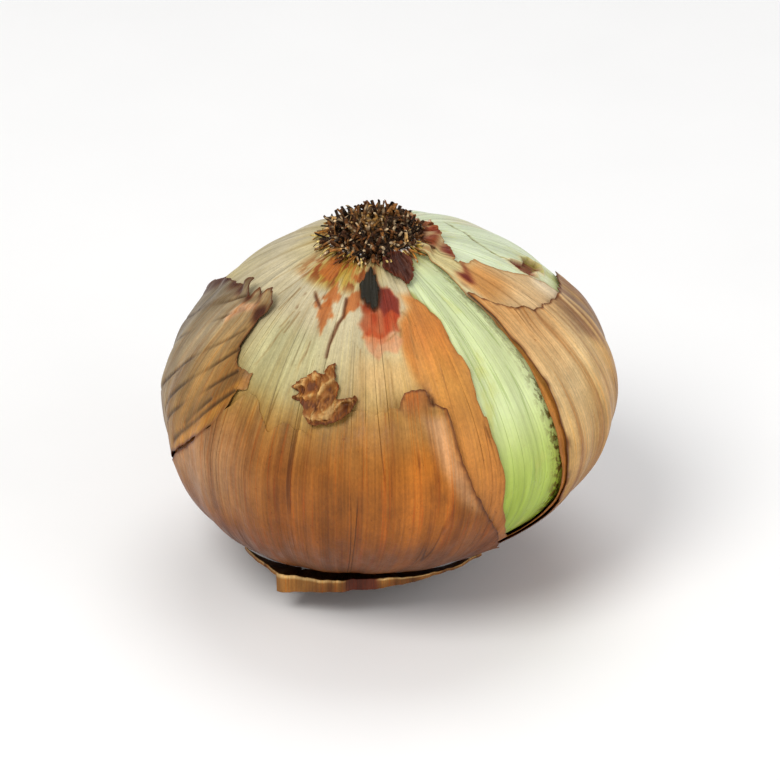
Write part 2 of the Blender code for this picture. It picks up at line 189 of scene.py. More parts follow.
def as_light(color):
    """The light in a colour that is given as the eye reads it, 0 to 255."""
    return ((np.clip(np.array(color) / 255, 0, 1) + 0.055) / 1.055) ** 2.4


def down_the_fibres(fall, stops):
    """Colours that blend from stop to stop with the fall."""
    falls, colors = zip(*stops)
    return np.stack([np.interp(fall, falls, channel) for channel in zip(*colors)], axis=-1)


def stained(ground, *stains):
    """The ground with colours laid over it in turn, each by its own share of 0 to 1."""
    for color, share in stains:
        ground = ground + np.subtract(color, ground) * np.clip(share, 0, 1)[:, None]
    return ground


def wrap(bm, placed, turn, fall, ground, **marks):
    """Move the flat sheet's vertices to their places and leave ground, grain and marks on them."""
    grain, light = grain_of(turn, fall), as_light(ground)
    ground_layer = bm.verts.layers.float_color.new("ground")
    grain_layer = bm.verts.layers.float_vector.new("grain")
    for i, vert in enumerate(bm.verts):
        vert.co = placed[i]
        vert[grain_layer] = grain[i]
        vert[ground_layer] = (*light[i], 1)
    for name, shares in marks.items():
        mark_layer = bm.verts.layers.float.new(name)
        for i, vert in enumerate(bm.verts):
            vert[mark_layer] = shares[i]
    bmesh.ops.remove_doubles(bm, verts=bm.verts, dist=0.002 * MM)


def piece_from(bm, name, finish, node):
    bmesh.ops.recalc_face_normals(bm, faces=bm.faces)
    mesh = bpy.data.meshes.new(name)
    bm.to_mesh(mesh)
    bm.free()
    mesh.shade_smooth()
    mesh.materials.append(finish)
    piece = bpy.data.objects.new(name, mesh)
    bpy.context.scene.collection.objects.link(piece)
    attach(piece, "root")
    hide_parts(node)
    return piece


class Finish:
    """A finish being mixed: the ground colour left on the mesh, and what is added to it."""

    def __init__(self, name):
        self.material = bpy.data.materials.new(name)
        self.material.use_nodes = True
        self.tree = self.material.node_tree
        self.shader = self.tree.nodes["Principled BSDF"]
        self.ground = self.mark("ground", "Color")
        self.height = None

    def add(self, kind, out=0, settings=None, **inputs):
        node = self.tree.nodes.new(kind)
        for key, value in (settings or {}).items():
            setattr(node, key, value)
        for key, value in inputs.items():
            self.give(node.inputs[int(key[1:]) if key[1:].isdigit() else key.replace("_", " ")], value)
        return node.outputs[out]

    def give(self, socket, value):
        if isinstance(value, bpy.types.NodeSocket):
            self.tree.links.new(value, socket)
        else:
            socket.default_value = value

    def mark(self, name, out="Fac"):
        return self.add("ShaderNodeAttribute", out=out, settings={"attribute_name": name})

    def noise(self, round_scale, down_scale, detail=3.0, roughness=0.55):
        scale = (round_scale, round_scale, down_scale)
        times = {"operation": "MULTIPLY"}
        vector = self.add("ShaderNodeVectorMath", settings=times, i0=self.mark("grain", "Vector"), i1=scale)
        return self.add("ShaderNodeTexNoise", Vector=vector, Scale=1.0, Detail=detail, Roughness=roughness)

    def sum(self, operation, first, second):
        return self.add("ShaderNodeMath", settings={"operation": operation}, i0=first, i1=second)

    def between(self, value, low, high, to_low=0.0, to_high=1.0):
        ramped = {"Value": value, "From_Min": low, "From_Max": high, "To_Min": to_low, "To_Max": to_high}
        return self.add("ShaderNodeMapRange", settings={"interpolation_type": "SMOOTHSTEP"}, **ramped)

    def stain(self, share, color, way="MIX"):
        """Mix a colour into the ground."""
        node = self.tree.nodes.new("ShaderNodeMix")
        node.data_type = "RGBA"
        node.blend_type = way
        self.give(node.inputs[0], share)
        self.give(node.inputs[6], self.ground)
        self.give(node.inputs[7], (*as_light(color), 1))
        self.ground = node.outputs[2]

    def shade(self, value, low, high, dark, light):
        """Darken and lighten the ground where a noise is low and high."""
        factor = self.between(value, low, high, dark, light)
        scaled = {"operation": "SCALE"}
        self.ground = self.add("ShaderNodeVectorMath", settings=scaled, Vector=self.ground, Scale=factor)

    def lines(self, pattern, width):
        """1 along the thin lines where a noise passes its middle."""
        off_middle = self.sum("ABSOLUTE", self.sum("SUBTRACT", pattern, 0.5), 0.0)
        return self.between(off_middle, 0.0, width, 1.0, 0.0)

    def raise_by(self, pattern, share):
        part = self.sum("MULTIPLY", pattern, share)
        self.height = part if self.height is None else self.sum("ADD", self.height, part)

    def done(self, depth, roughness, gloss):
        self.shader.inputs["Specular IOR Level"].default_value = gloss
        self.give(self.shader.inputs["Base Color"], self.ground)
        rough = self.noise(0.5, 0.2, detail=4)
        self.give(self.shader.inputs["Roughness"], self.between(rough, 0.3, 0.7, *roughness))
        bumped = self.add("ShaderNodeBump", Height=self.height, Distance=depth, Strength=1.0)
        self.give(self.shader.inputs["Normal"], bumped)
        return self.material


def flesh_finish():
    finish = Finish("onion flesh")
    pale = finish.noise(0.3, 0.04, detail=4)
    finish.shade(pale, 0.3, 0.7, 0.82, 1.14)
    veins = finish.lines(finish.noise(0.5, 0.012, detail=1), 0.02)
    finish.stain(finish.sum("MULTIPLY", veins, 0.45), (140, 166, 70))
    yellowed = finish.noise(0.22, 0.12, detail=4)
    finish.stain(finish.between(yellowed, 0.56, 0.72, 0, 0.5), (196, 196, 96))
    fine = finish.noise(2.4, 0.05, detail=2)
    finish.shade(fine, 0.3, 0.7, 0.93, 1.06)
    specks = finish.noise(0.9, 0.7, detail=4, roughness=0.7)
    speckled = finish.sum("MULTIPLY", finish.between(specks, 0.47, 0.56), finish.mark("speckled"))
    finish.stain(speckled, (96, 74, 14))
    dirt = finish.noise(0.9, 0.7, detail=5, roughness=0.75)
    finish.stain(finish.between(dirt, 0.64, 0.74, 0, 0.45), (150, 128, 72))
    finish.raise_by(veins, -0.4)
    finish.raise_by(fine, 0.6)
    finish.raise_by(speckled, 0.6)
    finish.shader.inputs["Subsurface Weight"].default_value = 0.15
    finish.shader.inputs["Subsurface Radius"].default_value = (0.0020, 0.0024, 0.0010)
    finish.shader.inputs["Subsurface Scale"].default_value = 1.0
    return finish.done(depth=0.16 * MM, roughness=(0.26, 0.42), gloss=0.3)


def flesh_ground(turn, fall, pit, pit_edge, scratch):
    flesh = down_the_fibres(fall + 4 * patchy(turn, fall, 0.1, 0.04, 1), [
        (12, (206, 186, 112)), (20, (206, 208, 150)), (30, (202, 214, 166)), (56, (204, 214, 158)),
        (70, (212, 224, 164)), (78, (200, 214, 134)), (88, (180, 200, 90)), (100, (158, 182, 50)),
        (116, (142, 164, 38)), (124, (170, 174, 84)), (142, (150, 118, 60)), (176, (104, 72, 38)),
    ])
    shoulder = smooth((turn - 60) / 20) * smooth((62 - fall) / 10)
    blush = smooth(patchy(turn, fall, 0.12, 0.09, 2) * 1.2) * shoulder
    dotted = 0.45 + 0.55 * smooth(patchy(turn, fall, 0.7, 0.7, 3) * 2)
    return stained(
        flesh,
        ((220, 230, 196), 0.85 * shoulder),
        ((216, 202, 164), 0.6 * blush),
        # Darker close round the root plate, under the tuft's edge: a corky root base with painted shade from
        # the tuft.
        ((84, 56, 30), 0.85 * smooth((17.6 - fall) / 3)),
        ((138, 132, 50), 0.8 * drawn(turn, fall, [SLIT_LEFT_SIDE], 1.2, 7)),
        ((112, 104, 52), scratch * dotted),
        # Pale on the pit's raised rim: a painted highlight.
        ((214, 190, 140), 0.8 * pit_edge),
        ((112, 38, 14), pit * (0.9 + 0.2 * patchy(turn, fall, 0.9, 0.9, 4))),
    )


def build_flesh():
    turns = spaced((-180, 1), (86, 0.34), (108.1, 1.1), (180, 0))
    bm = turn_and_fall_grid(turns, spaced((1.2, 1), (27.2, 0.5), (59.2, 1), (180, 0)))
    turn, fall = turns_and_falls(bm)
    stray = 0.5 * patchy(turn, fall, 0.8, 0.8, 5)
    pit = within(turn, fall, PIT, 0.4, stray)
    # The pit's rim stands up a little and is painted pale there as a highlight.
    pit_edge = within(turn, fall, PIT, 1.0, stray - 0.5) * (1 - pit)
    scratch = on_line(turn, fall, SHOULDER_SCRATCH, 0.55)
    ripple = patchy(turn, fall, 0.25, 0.04, 6) * 0.12 * MM * smooth((172 - fall) / 20)
    dents = (0.9 * pit - 0.3 * pit_edge + 0.2 * scratch) * MM
    lift = np.where(fall > 176, 0, FLESH_LIFT + ripple - dents)
    fringe = on_line(turn, fall, SLIT_RIGHT_SIDE, 3.2) * (0.4 + 0.6 * smooth((fall - 58) / 20))
    ground = flesh_ground(turn, fall, pit, pit_edge, scratch)
    wrap(bm, place(turn, fall, lift), turn, fall, ground, speckled=np.maximum(fringe, 0.04))
    bmesh.ops.holes_fill(bm, edges=bm.edges, sides=len(bm.verts))
    cut_end = min(bm.faces, key=lambda face: face.calc_center_median().z)
    ground_layer = bm.verts.layers.float_color["ground"]
    grain_layer = bm.verts.layers.float_vector["grain"]
    for narrower, rise, tone in NECK_RINGS:
        to_middle = Matrix.Translation(-cut_end.calc_center_bounds())
        bmesh.ops.inset_region(bm, faces=[cut_end], thickness=0, depth=0)
        bmesh.ops.scale(bm, vec=(narrower, narrower, 1), space=to_middle, verts=cut_end.verts)
        bmesh.ops.translate(bm, vec=(0, 0, rise * MM), verts=cut_end.verts)
        for vert in cut_end.verts:
            vert[ground_layer] = (*as_light(tone), 1)
            vert[grain_layer] = vert.co / MM
    bmesh.ops.poke(bm, faces=[cut_end])
    piece_from(bm, "fleshy_bulb", flesh_finish(), "bulb")


build_flesh()

# ---- The cream skin ----
# The inner papery skin: one dried scale leaf, thin and satiny, cream to orange, with fibres from
# root to neck. It has split open in a long slit and torn away from the right shoulder. Round the
# roots it has shrunk into pleats and stained, and a dark sliver of root is stuck to it there.
INNER_LIFT = 0.65 * MM
SKIN = 0.16 * MM
SLIT = [
    (24, 12), (27, 20), (22, 28), (21, 32), (25, 37), (27.5, 43), (27, 50), (28.5, 59), (27, 67),
    (29, 79), (29.5, 97), (33, 105), (42, 117), (47, 123), (51.5, 110), (50, 100), (48, 87),
    (48.5, 72), (49.5, 60), (49, 45), (49, 38), (52, 30), (57, 20), (58, 12),
]
SHOULDER_TEAR = [
    (103, 16.5), (90.5, 21), (78.5, 23.5), (68, 28), (71, 31), (78.5, 32), (79, 37.5), (83, 44),
    (87, 49.5), (90.5, 54), (91.5, 60), (98, 63), (107, 64), (112, 71), (117, 79), (126, 79),
    (135, 73), (145, 69), (155, 63), (165, 61), (171, 57), (174, 47), (172, 36), (169, 28),
    (174, 22), (170, 17.5), (160, 18.5), (151, 21.5), (141, 21), (134, 18.5), (125, 22.5), (114, 21.5),
    (108, 18.5),
]
ORANGE_STRIP = [
    (14, 31), (15, 36), (9, 41), (8, 50), (10.5, 60), (14, 70), (17, 82), (22, 94), (30, 108),
    (44, 124), (52, 124), (52, 60), (40, 30), (27, 30), (22, 31),
]
RED_PATCH = [
    (1, 27.5), (9.5, 28.3), (12, 32.5), (11, 39), (8, 41), (9, 44), (4.5, 45), (0.5, 48), (-3.5, 45),
    (-6, 46), (-10, 41.5), (-8, 38), (-11, 34), (-5, 33),
]
DARK_RED_PATCH = [(1, 27.5), (9.5, 28.3), (12, 32.5), (10.5, 38), (6, 36), (3, 38), (0, 35)]
PINK_LOBES = [(-7, 45), (0, 46), (7, 44), (9, 47), (6, 51), (1, 50.5), (-1, 53), (-5, 50.5)]
RUST_PATCHES = [
    [(-11, 30), (-18.5, 31.5), (-18, 39), (-13, 37), (-9, 34)],
    [(-52, 18), (-45, 25), (-36, 27), (-30, 24), (-34, 19), (-42, 17)],
    [(-22, 19), (-18, 25), (-13, 24), (-14, 19)],
    [(-30, 28), (-34, 33), (-28, 36), (-22, 32), (-24, 28)],
    [(-32, 36), (-38, 33), (-30, 42), (-26, 47), (-24, 40), (-27, 35)],
    [(5, 47), (-3, 50), (-8, 46), (-3, 43)],
]
ROOT_SLIVER = [
    (-3.5, 20), (-1, 23), (1.5, 27), (2, 30.5), (0.5, 33.5), (-2, 36), (-5, 34.5), (-9, 31.5),
    (-9.5, 28), (-7.5, 24.5), (-5.5, 21.5),
]
CREAM_CRACKS = [
    [(-18.5, 32.5), (-17.5, 39), (-19.5, 42), (-20, 45.5), (-21, 49.5), (-21, 53.5)],
    [(-40, 33), (-34, 36), (-31, 38)],
    [(-44.5, 35), (-44, 40.5)],
    [(12.5, 60), (15, 70), (17, 82)],
]
FAINT_CREASES = [
    [(12, 37.5), (14, 39.5), (13.3, 45), (12.5, 53)], [(9.5, 43), (8.5, 46)], [(7, 44.5), (2.5, 47)],
    [(-46, 49), (-44, 42)], [(-42.5, 50), (-40.5, 41.5)], [(-47, 62), (-43, 46)], [(-8, 50), (-8.5, 66)],
    [(2, 53), (3, 66)], [(-31, 66), (-29, 50)], [(-2, 52), (-1.5, 66)], [(-52, 44), (-50, 34)],
    [(-60, 40), (-56, 28)], [(-72, 38), (-68, 26)],
]
SCORCHED_SHOULDER = [(113, 19), (98, 20), (90.5, 21), (78.5, 23.5), (68, 28), (63, 31.5), (57, 35.5)]
INNER_CURLS = ((97, 19, 9, 1.3 * MM), (74, 25.5, 6, 0.7 * MM), (84, 47, 7, 0.5 * MM))


def cut_away(bm, skin_left):
    """Tear the flat sheet: skin_left(turn, fall) is the millimetres of skin left to the torn edge."""
    left = dict(zip(bm.verts, skin_left(*turns_and_falls(bm))))
    near = [edge for edge in bm.edges if max(abs(left[vert]) for vert in edge.verts) < 0.9]
    bmesh.ops.subdivide_edges(bm, edges=near, cuts=1, use_grid_fill=True)
    left = dict(zip(bm.verts, skin_left(*turns_and_falls(bm))))
    torn_line = []
    for edge in list(bm.edges):
        start, end = edge.verts
        if (left[start] < 0) != (left[end] < 0):
            vert = bmesh.utils.edge_split(edge, start, left[start] / (left[start] - left[end]))[1]
            left[vert] = 0
            torn_line.append(vert)
    bmesh.ops.connect_verts(bm, verts=torn_line)
    gone = [face for face in bm.faces if min(left[vert] for vert in face.verts) < 0]
    bmesh.ops.delete(bm, geom=gone, context="FACES")
    loose = [vert for vert in bm.verts if not vert.link_faces]
    bmesh.ops.delete(bm, geom=loose, context="VERTS")
    return np.array([left[vert] for vert in bm.verts])


def ragged(turn, fall, seed, coarse=0.7, fine=0.4):
    """How far a torn edge strays, in millimetres: frayed across the fibres, smooth along them."""
    wander = patchy(turn, fall, 0.22, 0.12, seed) * coarse
    fray = patchy(turn, fall, 0.9, 0.3, seed + 1) + patchy(turn, fall, 2.1, 0.6, seed + 2) / 2
    return wander + fray * fine


def inner_left(turn, fall):
    slit = off_outline(turn, fall, SLIT) + ragged(turn, fall, 11, 0.3, 0.3)
    shoulder = off_outline(turn, fall, SHOULDER_TEAR) + ragged(turn, fall, 14, 0.6)
    return np.minimum(slit, shoulder)


def inner_lift(turn, fall):
    """How far the cream skin stands off the flesh, away from its torn edges."""
    near_root = smooth((46 - fall) / 26)
    pleats = patchy(turn, fall, 0.3, 0.04, 21) * 0.4 + patchy(turn, fall, 0.75, 0.06, 22) * 0.28
    neck_folds = patchy(turn, fall, 0.3, 0.05, 23) * 0.3 * smooth((fall - 150) / 20)
    ripple = patchy(turn, fall, 0.22, 0.04, 24) * 0.12 + patchy(turn, fall, 0.6, 0.03, 25) * 0.05
    return INNER_LIFT + (pleats * near_root + neck_folds + ripple) * MM


def curled_by(turn, fall, corners):
    """How far the skin has curled up near its lifted corners."""
    total = 0
    for corner_turn, corner_fall, reach, corner_lift in corners:
        away = np.hypot((turn - corner_turn) * np.sin(np.radians(fall)), fall - corner_fall)
        total = total + corner_lift * smooth(1 - away / reach)
    return total


def cream_of(turn, fall):
    """The cream skin's own colour: pale, warmer in the middle and brown where it was covered."""
    wander = 3 * patchy(turn, fall, 0.12, 0.03, 31) + 2.5 * patchy(turn, fall, 0.5, 0.02, 32)
    middle = smooth((turn + 16 + wander) / 12) * smooth((22 - turn) / 10)
    cream = down_the_fibres(fall + wander + 5 * middle * smooth((fall - 56) / 6), [
        (14, (188, 166, 110)), (22, (194, 180, 138)), (34, (196, 184, 152)), (50, (190, 177, 138)),
        (60, (186, 171, 124)), (68, (176, 148, 88)), (76, (162, 114, 50)), (84, (150, 90, 32)),
        (104, (136, 76, 18)), (176, (104, 70, 34)),
    ])
    covered = smooth((np.abs(turn) - 100) / 15) * smooth((fall - 62) / 10)
    greenish = smooth((turn + 58) / 12) * smooth((-18 - turn) / 10) * smooth((fall - 42) / 10)
    return stained(
        cream,
        ((204, 164, 104), 0.85 * middle * smooth((fall - 46) / 12) * smooth((70 - fall) / 12)),
        ((196, 156, 96), 0.85 * covered),
        ((184, 182, 132), 0.5 * greenish * smooth((72 - fall) / 8)),
    )


def cream_ground(turn, fall, left, sliver, red, cracks):
    """The cream skin with its stains: yellow and rust round the roots, orange by the slit."""
    yellow = smooth(1 - np.abs(turn + 34) / 42) * smooth((33 - fall) / 7)
    yellow = yellow * smooth(0.85 + patchy(turn, fall, 0.35, 0.15, 33))
    blotched = smooth((patchy(turn, fall, 0.4, 0.3, 34) + 0.5 * patchy(turn, fall, 1.2, 0.8, 46)) * 2.6)
    blotched = blotched * smooth((32 - fall) / 6) * smooth((turn + 75) / 20) * smooth((4 - turn) / 6)
    band = smooth((turn - 48) / 4) * smooth((80 - turn) / 10) * smooth((42 - fall) / 8)
    flap = smooth((turn - 52) / 6) * smooth((130 - turn) / 20)
    flap = flap * smooth((fall - 29) / 6) * smooth((70 - fall) / 6)
    flap_root = flap * smooth((82 - turn) / 12) * smooth((50 - fall) / 10)
    flap_end = flap * smooth((turn - 80) / 8) * smooth((fall - 46) / 6)
    orange = within(turn, fall, ORANGE_STRIP, 3.0, 0.8 * patchy(turn, fall, 0.3, 0.1, 35))
    strip = down_the_fibres(fall + 5 * patchy(turn, fall, 0.5, 0.03, 36), [
        (30, (194, 122, 50)), (44, (192, 116, 48)), (60, (200, 136, 62)), (90, (194, 124, 56)),
        (125, (160, 92, 34)),
    ])
    stray = 0.9 * patchy(turn, fall, 0.45, 0.35, 37) + 0.8 * patchy(turn, fall, 1.3, 0.9, 45)
    lobes = within(turn, fall, PINK_LOBES, 0.6, 0.3 * patchy(turn, fall, 0.6, 0.5, 42))
    dark_red = within(turn, fall, DARK_RED_PATCH, 0.7, 0.4 * patchy(turn, fall, 0.6, 0.5, 38))
    scorched = on_line(turn, fall, SCORCHED_SHOULDER, 2.4)
    scorched = scorched * smooth(0.55 + 1.6 * patchy(turn, fall, 0.28, 0.28, 39))
    crust = smooth((turn - 30) / 12) * smooth((166 - turn) / 10) * smooth((22 - fall) / 3)
    crust = crust * smooth(0.5 + 1.6 * patchy(turn, fall, 0.4, 0.3, 40))
    # under_roots: darker close round the root plate, under the tuft's edge, a corky root base with painted
    # shade from the tuft.
    under_roots = smooth((17.6 + patchy(turn, fall, 0.5, 0.4, 47) - fall) / 2.4)
    sliver_color = (34, 30, 18) + 11.5 * patchy(turn, fall, 1.3, 0.25, 49)[:, None]
    return stained(
        cream_of(turn, fall),
        ((172, 136, 40), 0.95 * yellow),
        ((138, 66, 22), 0.9 * blotched),
        ((206, 192, 136), 0.85 * band),
        ((212, 176, 128), 0.95 * flap),
        ((202, 140, 74), 0.85 * flap_root),
        ((218, 200, 170), 0.8 * flap_end),
        (strip, 0.95 * orange),
        *(((178, 92, 34), 0.8 * within(turn, fall, patch, 1.2, stray)) for patch in RUST_PATCHES),
        ((166, 58, 18), red * (0.85 + 0.35 * patchy(turn, fall, 0.5, 0.3, 41))),
        ((198, 132, 92), 0.7 * lobes),
        ((112, 34, 20), 0.85 * dark_red),
        ((128, 92, 44), 0.5 * drawn(turn, fall, FAINT_CREASES, 0.32, 43)),
        ((112, 36, 18), 1.2 * scorched),
        ((132, 54, 26), 0.9 * crust),
        ((224, 192, 176), 0.9 * smooth(1 - np.abs(turn - 124) / 14) * smooth((26 - fall) / 3)),
        ((84, 42, 18), 0.9 * cracks),
        # Painted shade under the tuft's edge, over a corky root base.
        ((74, 44, 26), 0.8 * under_roots),
        ((150, 94, 44), 0.6 * (1 - smooth(left / 0.45))),
        ((98, 48, 24), 0.8 * within(turn, fall, ROOT_SLIVER, 0.8, -0.5)),
        (sliver_color, sliver),
    )


def skin_finish(name, dark, light, contrast=1.0, vein_share=0.6, roughness=(0.36, 0.54)):
    """Dried scale leaf: fibres and veins along the grain, specks of earth, paper-thin torn edges."""
    finish = Finish(name)
    streaks = finish.noise(0.34, 0.018, detail=6, roughness=0.62)
    finish.stain(finish.between(streaks, 0.52, 0.3, 0, 0.75 * contrast), dark, "MULTIPLY")
    finish.shade(streaks, 0.5, 0.72, 1, 1 + 0.36 * contrast)
    mottle = finish.noise(0.13, 0.11, detail=6, roughness=0.66)
    finish.shade(mottle, 0.3, 0.7, 1 - 0.26 * contrast, 1 + 0.2 * contrast)
    shown = finish.between(finish.noise(0.16, 0.05, detail=3), 0.42, 0.6)
    veins = finish.sum("MULTIPLY", finish.lines(finish.noise(0.3, 0.009, detail=1), 0.012), shown)
    finish.stain(finish.sum("MULTIPLY", veins, vein_share), np.multiply(dark, 0.8), "MULTIPLY")
    fibres = finish.noise(2.6, 0.04, detail=3)
    finish.shade(fibres, 0.3, 0.7, 1 - 0.16 * contrast, 1 + 0.14 * contrast)
    pale_fibres = finish.lines(finish.noise(0.8, 0.012, detail=2), 0.02)
    finish.stain(finish.sum("MULTIPLY", pale_fibres, 0.7 * contrast), light, "SOFT_LIGHT")
    dust = finish.noise(0.9, 0.8, detail=6, roughness=0.78)
    finish.stain(finish.between(dust, 0.61, 0.69, 0, 0.7), dark, "MULTIPLY")
    grit = finish.noise(2.2, 1.6, detail=3, roughness=0.7)
    finish.shade(grit, 0.3, 0.7, 0.9, 1.09)
    finish.raise_by(streaks, 1.3)
    finish.raise_by(veins, 0.5)
    finish.raise_by(fibres, 0.3)
    finish.raise_by(mottle, 1.6)
    return finish.done(depth=0.22 * MM, roughness=roughness, gloss=0.22)


def thicken(piece, thickness=SKIN):
    wall = piece.modifiers.new("skin thickness", "SOLIDIFY")
    wall.thickness = thickness
    wall.offset = -1
    wall.use_even_offset = False


def build_inner_skin():
    turns = spaced((-180, 1.6), (-76, 0.6), (14, 1.3), (120, 1.7), (180, 0))
    bm = turn_and_fall_grid(turns, spaced((15.2, 0.55), (56, 1), (86, 2.6), (177, 0)))
    left = np.clip(cut_away(bm, inner_left), 0, 6)
    turn, fall = turns_and_falls(bm)
    frayed = 0.5 * patchy(turn, fall, 0.5, 0.35, 26) + 0.55 * patchy(turn, fall, 1.5, 0.9, 48)
    sliver = within(turn, fall, ROOT_SLIVER, 0.35, frayed)
    red = within(turn, fall, RED_PATCH, 1.2, 0.6 * patchy(turn, fall, 0.7, 0.5, 27))
    cracks = np.maximum(drawn(turn, fall, CREAM_CRACKS, 0.6, 44), on_line(turn, fall, CREAM_CRACKS[0], 0.55))
    curl_here = smooth(patchy(turn, fall, 0.12, 0.12, 28) * 0.9 + 0.45)
    curl = np.exp(-left / 0.9) * curl_here * 0.45 * MM * smooth((112 - fall) / 10)
    lift = inner_lift(turn, fall) + curl + curled_by(turn, fall, INNER_CURLS) * np.exp(-left / 2)
    crust = smooth((turn - 30) / 12) * smooth((166 - turn) / 10) * smooth((23 - fall) / 3)
    crumbs = crust * (0.5 + patchy(turn, fall, 0.8, 0.6, 29)) * 0.9
    lift = lift + (0.9 * sliver - 0.3 * red * (1 - sliver) - 0.3 * cracks + crumbs) * MM
    ground = cream_ground(turn, fall, left, sliver, red, cracks)
    wrap(bm, place(turn, fall, np.maximum(lift, 0.3 * MM)), turn, fall, ground)
    finish = skin_finish("cream skin", (196, 170, 124), (216, 204, 166), contrast=0.6)
    thicken(piece_from(bm, "cream_inner_skin", finish, "inner_skin"))


build_inner_skin()

# ---- The brown skin ----
# The outer papery skin: another dried leaf, brown and brittle, torn away round the root end so
# that the cream skin shows. Its fibres run from root to neck, its front corner has curled up, and
# on the left a grey-brown remnant with a scorched edge is cracked off from the skin below it.
OUTER_LIFT = 1.35 * MM
UPPER_EDGE = [
    (-180, 64), (-172, 61), (-165, 62), (-155, 60.5), (-146, 66), (-138, 67), (-131, 73), (-123, 77),
    (-117, 79), (-113, 71), (-108, 62), (-104.5, 58.5), (-98, 54), (-89.5, 50.5), (-84.5, 48.5),
    (-79, 47), (-76.5, 43), (-71.5, 46.5), (-69.5, 42.5), (-65, 44.5), (-59.5, 40.5), (-52.5, 43),
    (-54, 47), (-57, 50), (-56.5, 55), (-56.5, 60), (-52.5, 63.5), (-46.5, 65), (-45.5, 70),
    (-41, 71), (-34, 77), (-30, 74), (-24, 75), (-20, 71), (-13, 69), (-8, 66), (-1, 68), (4, 67),
    (6, 63), (12, 62), (13, 66.5), (16.5, 68), (17, 75), (18.5, 81), (21, 88), (24, 95), (28, 103),
    (36, 115), (42, 121), (47.5, 126), (52.5, 111), (51, 100), (49, 87), (49.5, 72), (50.5, 60),
    (50, 45), (49.5, 38), (54, 43), (61.5, 49.5), (67.5, 54), (75, 55), (82, 56), (90, 58),
    (97, 59.5), (105, 60), (110, 61.5), (115, 67), (118, 76), (122, 84), (130, 80), (140, 76),
    (150, 71), (160, 69), (171, 65), (180, 64),
]
LEFT_CRACK = [
    (-43.5, 68), (-48.2, 75.5), (-51.5, 81.5), (-57, 87.5), (-64.5, 94), (-78, 105.5), (-92, 112),
    (-77.5, 103.4), (-63.5, 91.8), (-55.8, 85.2), (-50.6, 79.6), (-48.3, 70),
]
BACK_TEAR = [
    (-160, 79), (-153, 73), (-146, 78), (-143, 88), (-145, 99), (-150, 107), (-155, 101), (-161, 93),
]
REMNANT = [
    (-140, 40), (-50, 36), (-44, 66), (-48, 73), (-51, 80), (-56.5, 86.5), (-64, 93), (-78, 104.5),
    (-92, 111), (-112, 104), (-132, 78),
]
SCORCHED_EDGE = [
    (-112, 70), (-104.5, 58.5), (-98, 54), (-89.5, 50.5), (-84.5, 48.5), (-79, 47), (-76.5, 43),
    (-71.5, 46.5), (-69.5, 42.5), (-65, 44.5), (-59.5, 40.5), (-52.5, 43), (-54, 47), (-58, 49),
]
TAN_SIDE = [(46, 20), (45, 90), (47, 128), (62, 134), (86, 130), (108, 108), (128, 84), (130, 50), (80, 20)]
REMNANT_CREASES = [
    [(-64, 48), (-80, 63), (-96, 80), (-108, 94)], [(-59, 55), (-73, 71), (-88, 88), (-98, 100)],
    [(-55, 60), (-67, 74), (-82, 92)], [(-51, 66), (-66.5, 81.5), (-80, 96)],
    [(-49, 71), (-60, 84), (-70, 94)], [(-74, 48), (-90, 62), (-106, 78)], [(-56, 76), (-64, 86)],
]
PEACH_BUMP = [(-73, 57), (-71, 50), (-62, 46), (-61, 48.5), (-67, 51.5), (-71, 58)]
GOLDEN_SLIVER = [(-57, 83.5), (-52, 75), (-48.5, 67.5), (-47, 71), (-52, 80), (-57, 86), (-70, 97), (-66, 90)]
DARK_SHOULDER = [(80, 57), (86, 54), (104, 54), (116, 62), (112, 78), (98, 82), (86, 74), (78, 66)]
CORNER_SHEEN = [(10, 69), (16, 70), (17, 78), (20, 88), (23, 96), (18, 92), (13, 82)]
OUTER_CURLS = (
    (8, 64, 7, 2.6 * MM), (-58, 43, 8, 1.1 * MM), (-77, 45, 5, 1.2 * MM), (-98, 55, 7, 0.7 * MM),
    (62, 50, 9, 1.2 * MM),
)


def outer_left(turn, fall):
    above = [(-200, 8), (-200, UPPER_EDGE[0][1]), *UPPER_EDGE, (200, UPPER_EDGE[0][1]), (200, 8)]
    upper = off_outline(turn, fall, above) + ragged(turn, fall, 41)
    crack = off_outline(turn, fall, LEFT_CRACK) + ragged(turn, fall, 44, 0.25, 0.2) + 0.1
    back = off_outline(turn, fall, BACK_TEAR) + ragged(turn, fall, 47)
    end = (172 - fall) * 0.3 + patchy(turn, fall, 0.35, 0.02, 50) * 1.6
    return np.minimum(np.minimum(upper, crack), np.minimum(back, end))


